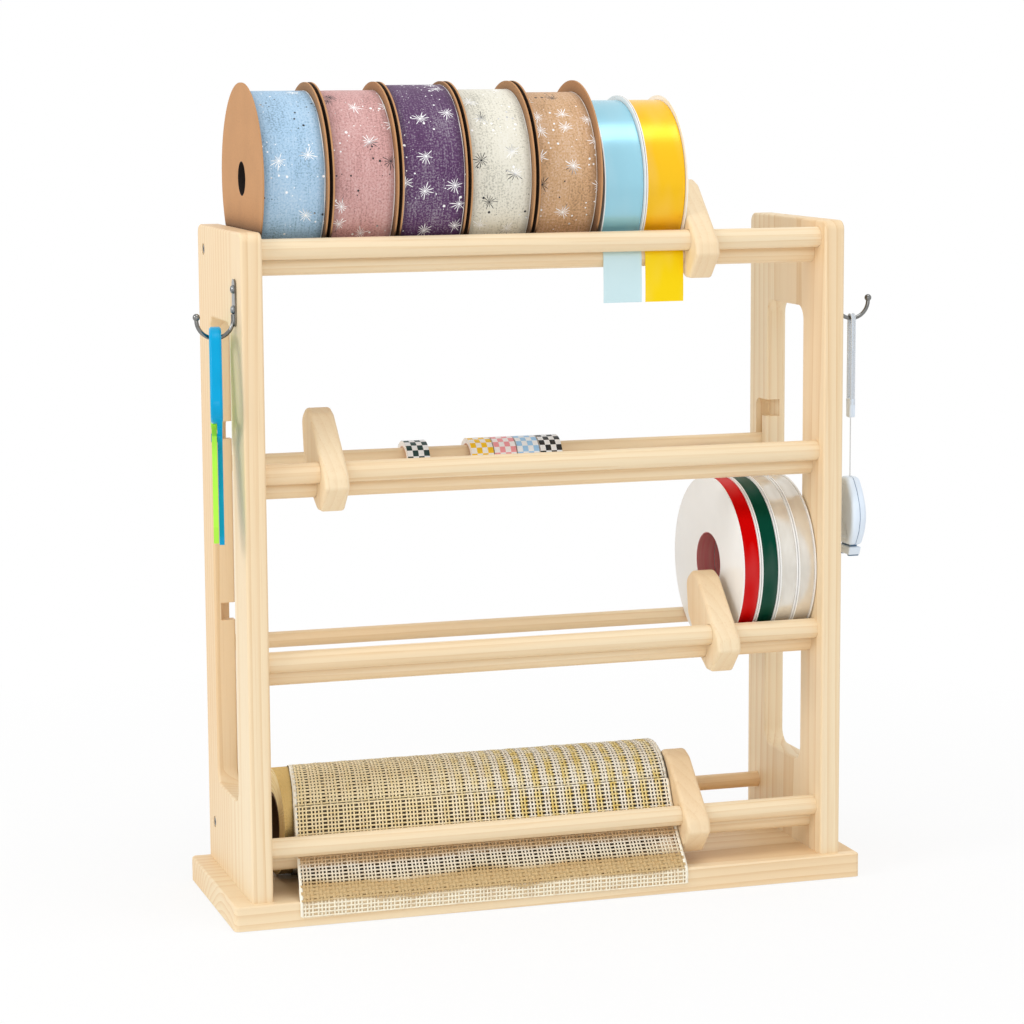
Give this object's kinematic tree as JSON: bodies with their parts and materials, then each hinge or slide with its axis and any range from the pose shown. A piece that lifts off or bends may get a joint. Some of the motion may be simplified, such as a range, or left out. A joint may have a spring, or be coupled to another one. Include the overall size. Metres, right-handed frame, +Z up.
{
  "type": "ribbon spool dispenser",
  "caption": "Wooden counter rack with four tiers of rods that hold ribbon spools, paper tapes and a mesh roll, with sliding dividers and side hooks.",
  "frame": {"origin": "centre of the base board's underside", "axes": "+X along the rods to the user's right, +Y to the back, +Z up"},
  "size_m": [0.431, 0.133, 0.5016],
  "materials": {
    "pine_board": "sanded clear pine, grain along the board",
    "pine_rod": "turned pine dowel, satin",
    "pine_divider": "sanded pine block",
    "kraft_card": "brown kraft board, matte",
    "sky_wired_ribbon": "crepe fabric with silver and white stars, white wired edges",
    "rose_wired_ribbon": "crepe fabric with silver and white stars, white wired edges",
    "plum_wired_ribbon": "crepe fabric with silver and white stars, white wired edges",
    "ivory_wired_ribbon": "crepe fabric with silver stars, white wired edges",
    "tan_wired_ribbon": "crepe fabric with silver and white stars, white wired edges",
    "white_spool_plastic": "gloss moulded spool",
    "blue_satin": "satin ribbon",
    "yellow_satin": "satin ribbon",
    "red_narrow_ribbon": "gloss narrow ribbon",
    "green_narrow_ribbon": "gloss narrow ribbon",
    "silver_narrow_ribbon": "metallic narrow ribbon",
    "green_check_tape": "printed paper tape, white sides",
    "yellow_check_tape": "printed paper tape, white sides",
    "pink_check_tape": "printed paper tape, white sides",
    "blue_check_tape": "printed paper tape, white sides",
    "black_check_tape": "printed paper tape, white sides",
    "tan_core_board": "wound paper board tube",
    "ivory_mesh": "open woven mesh with gold and cream stripes",
    "hook_chrome": "polished",
    "hanger_steel": "thin pressed steel",
    "zinc_screw": "zinc plated",
    "blue_scissor_plastic": "moulded",
    "lime_scissor_plastic": "moulded",
    "pale_blue_strap": "braided strap with moulded clasp",
    "white_string": "thin string",
    "pale_blue_plastic": "satin moulded shell with a parting line"
  },
  "bodies": {
    "rack": {"base_board": "pine_board", "left_side_panel": "pine_board", "right_side_panel": "pine_board", "front_rod_tier1": "pine_rod", "lower_rod_tier1": "pine_rod", "rear_rod_tier1": "pine_rod", "front_rod_tier2": "pine_rod", "lower_rod_tier2": "pine_rod", "front_rod_tier3": "pine_rod", "lower_rod_tier3": "pine_rod", "front_rod_tier4": "pine_rod", "lower_rod_tier4": "pine_rod", "rear_rod_tier4": "pine_rod", "side_hooks": "hook_chrome", "hanger_plates": "hanger_steel", "wood_screws": "zinc_screw", "small_screws": "zinc_screw", "satin_tail_1": "blue_satin", "satin_tail_2": "yellow_satin", "mesh_tail": "ivory_mesh"},
    "wired_reel_1": {"card_spool_1": "kraft_card", "wired_ribbon_1": "sky_wired_ribbon"},
    "wired_reel_2": {"card_spool_2": "kraft_card", "wired_ribbon_2": "rose_wired_ribbon"},
    "wired_reel_3": {"card_spool_3": "kraft_card", "wired_ribbon_3": "plum_wired_ribbon"},
    "wired_reel_4": {"card_spool_4": "kraft_card", "wired_ribbon_4": "ivory_wired_ribbon"},
    "wired_reel_5": {"card_spool_5": "kraft_card", "wired_ribbon_5": "tan_wired_ribbon"},
    "satin_reel_1": {"satin_spool_1": "white_spool_plastic", "satin_ribbon_1": "blue_satin"},
    "satin_reel_2": {"satin_spool_2": "white_spool_plastic", "satin_ribbon_2": "yellow_satin"},
    "narrow_reel_1": {"narrow_spool_1": "white_spool_plastic", "narrow_ribbon_1": "red_narrow_ribbon"},
    "narrow_reel_2": {"narrow_spool_2": "white_spool_plastic", "narrow_ribbon_2": "green_narrow_ribbon"},
    "narrow_reel_3": {"narrow_spool_3": "white_spool_plastic", "narrow_ribbon_3": "silver_narrow_ribbon"},
    "narrow_reel_4": {"narrow_spool_4": "white_spool_plastic", "narrow_ribbon_4": "silver_narrow_ribbon"},
    "loose_rod_2": {"rear_rod_tier2": "pine_rod"},
    "loose_rod_3": {"rear_rod_tier3": "pine_rod"},
    "tape_1": {"paper_tape_1": "green_check_tape"},
    "tape_2": {"paper_tape_2": "yellow_check_tape"},
    "tape_3": {"paper_tape_3": "pink_check_tape"},
    "tape_4": {"paper_tape_4": "blue_check_tape"},
    "tape_5": {"paper_tape_5": "black_check_tape"},
    "mesh_reel": {"mesh_core": "tan_core_board", "mesh_roll": "ivory_mesh"},
    "divider_1": {"divider_tier1": "pine_divider"},
    "divider_2": {"divider_tier2": "pine_divider"},
    "divider_3": {"divider_tier3": "pine_divider"},
    "divider_4": {"divider_tier4": "pine_divider"},
    "scissors": {"scissors_hung_half": "blue_scissor_plastic"},
    "scissors_free": {"scissors_free_half": "lime_scissor_plastic"},
    "hung_cutter": {"lanyard_strap": "pale_blue_strap", "lanyard_string": "white_string", "pocket_cutter": "pale_blue_plastic"}
  },
  "joints": [
    {"name": "wired_reel_1_turn", "type": "hinge", "parent": "rack", "child": "wired_reel_1", "pos_m": [0, 0.00296, 0.44456], "axis": [1, 0, 0], "continuous": true},
    {"name": "wired_reel_2_turn", "type": "hinge", "parent": "rack", "child": "wired_reel_2", "pos_m": [0, 0.00296, 0.44456], "axis": [1, 0, 0], "continuous": true},
    {"name": "wired_reel_3_turn", "type": "hinge", "parent": "rack", "child": "wired_reel_3", "pos_m": [0, 0.00296, 0.44456], "axis": [1, 0, 0], "continuous": true},
    {"name": "wired_reel_4_turn", "type": "hinge", "parent": "rack", "child": "wired_reel_4", "pos_m": [0, 0.00296, 0.44456], "axis": [1, 0, 0], "continuous": true},
    {"name": "wired_reel_5_turn", "type": "hinge", "parent": "rack", "child": "wired_reel_5", "pos_m": [0, 0.00296, 0.44456], "axis": [1, 0, 0], "continuous": true},
    {"name": "satin_reel_1_turn", "type": "hinge", "parent": "rack", "child": "satin_reel_1", "pos_m": [0, 0.00326, 0.43905], "axis": [1, 0, 0], "continuous": true},
    {"name": "satin_reel_2_turn", "type": "hinge", "parent": "rack", "child": "satin_reel_2", "pos_m": [0, 0.00326, 0.43905], "axis": [1, 0, 0], "continuous": true},
    {"name": "narrow_reel_1_turn", "type": "hinge", "parent": "rack", "child": "narrow_reel_1", "pos_m": [0.13087, 0.00308, 0.19626], "axis": [0.999, 0.0454, 0], "continuous": true},
    {"name": "narrow_reel_2_turn", "type": "hinge", "parent": "rack", "child": "narrow_reel_2", "pos_m": [0.14329, 0.00308, 0.19626], "axis": [0.999, 0.0454, 0], "continuous": true},
    {"name": "narrow_reel_3_turn", "type": "hinge", "parent": "rack", "child": "narrow_reel_3", "pos_m": [0.1557, 0.00308, 0.19626], "axis": [0.999, 0.0454, 0], "continuous": true},
    {"name": "narrow_reel_4_turn", "type": "hinge", "parent": "rack", "child": "narrow_reel_4", "pos_m": [0.16811, 0.00308, 0.19626], "axis": [0.999, 0.0454, 0], "continuous": true},
    {"name": "loose_rod_2_lift", "type": "slide", "parent": "rack", "child": "loose_rod_2", "axis": [0, 0, 1], "range_m": [0, 0.0218]},
    {"name": "loose_rod_3_turn", "type": "hinge", "parent": "rack", "child": "loose_rod_3", "pos_m": [0, 0.047, 0.1545], "axis": [1, 0, 0], "continuous": true},
    {"name": "tape_1_turn", "type": "hinge", "parent": "loose_rod_2", "child": "tape_1", "pos_m": [0, 0.047, 0.2623], "axis": [1, 0, 0], "continuous": true},
    {"name": "tape_2_turn", "type": "hinge", "parent": "loose_rod_2", "child": "tape_2", "pos_m": [0, 0.047, 0.2623], "axis": [1, 0, 0], "continuous": true},
    {"name": "tape_3_turn", "type": "hinge", "parent": "loose_rod_2", "child": "tape_3", "pos_m": [0, 0.047, 0.2623], "axis": [1, 0, 0], "continuous": true},
    {"name": "tape_4_turn", "type": "hinge", "parent": "loose_rod_2", "child": "tape_4", "pos_m": [0, 0.047, 0.2623], "axis": [1, 0, 0], "continuous": true},
    {"name": "tape_5_turn", "type": "hinge", "parent": "loose_rod_2", "child": "tape_5", "pos_m": [0, 0.047, 0.2623], "axis": [1, 0, 0], "continuous": true},
    {"name": "mesh_reel_turn", "type": "hinge", "parent": "rack", "child": "mesh_reel", "pos_m": [0, 0.00113, 0.0495], "axis": [1, 0, 0], "continuous": true},
    {"name": "divider_1_slide", "type": "slide", "parent": "rack", "child": "divider_1", "axis": [1, 0, 0], "range_m": [0, 0.07]},
    {"name": "divider_2_slide", "type": "slide", "parent": "rack", "child": "divider_2", "axis": [1, 0, 0], "range_m": [-0.0341, 0.3036]},
    {"name": "divider_3_slide", "type": "slide", "parent": "rack", "child": "divider_3", "axis": [1, 0, 0], "range_m": [-0.28277, 0]},
    {"name": "divider_4_slide", "type": "slide", "parent": "rack", "child": "divider_4", "axis": [1, 0, 0], "range_m": [0, 0.0747]},
    {"name": "scissors_swing", "type": "hinge", "parent": "rack", "child": "scissors", "pos_m": [-0.2024, -0.043, 0.3532], "axis": [0.9799, -0.1994, 0], "range_deg": [-15, 10]},
    {"name": "scissors_open", "type": "hinge", "parent": "scissors", "child": "scissors_free", "pos_m": [-0.20259, -0.04396, 0.29467], "axis": [0.9799, -0.1994, 0], "range_deg": [-30, 0]},
    {"name": "cutter_swing", "type": "hinge", "parent": "rack", "child": "hung_cutter", "pos_m": [0.2024, -0.043, 0.3532], "axis": [1, 0, 0], "range_deg": [-20, 20]}
  ]
}
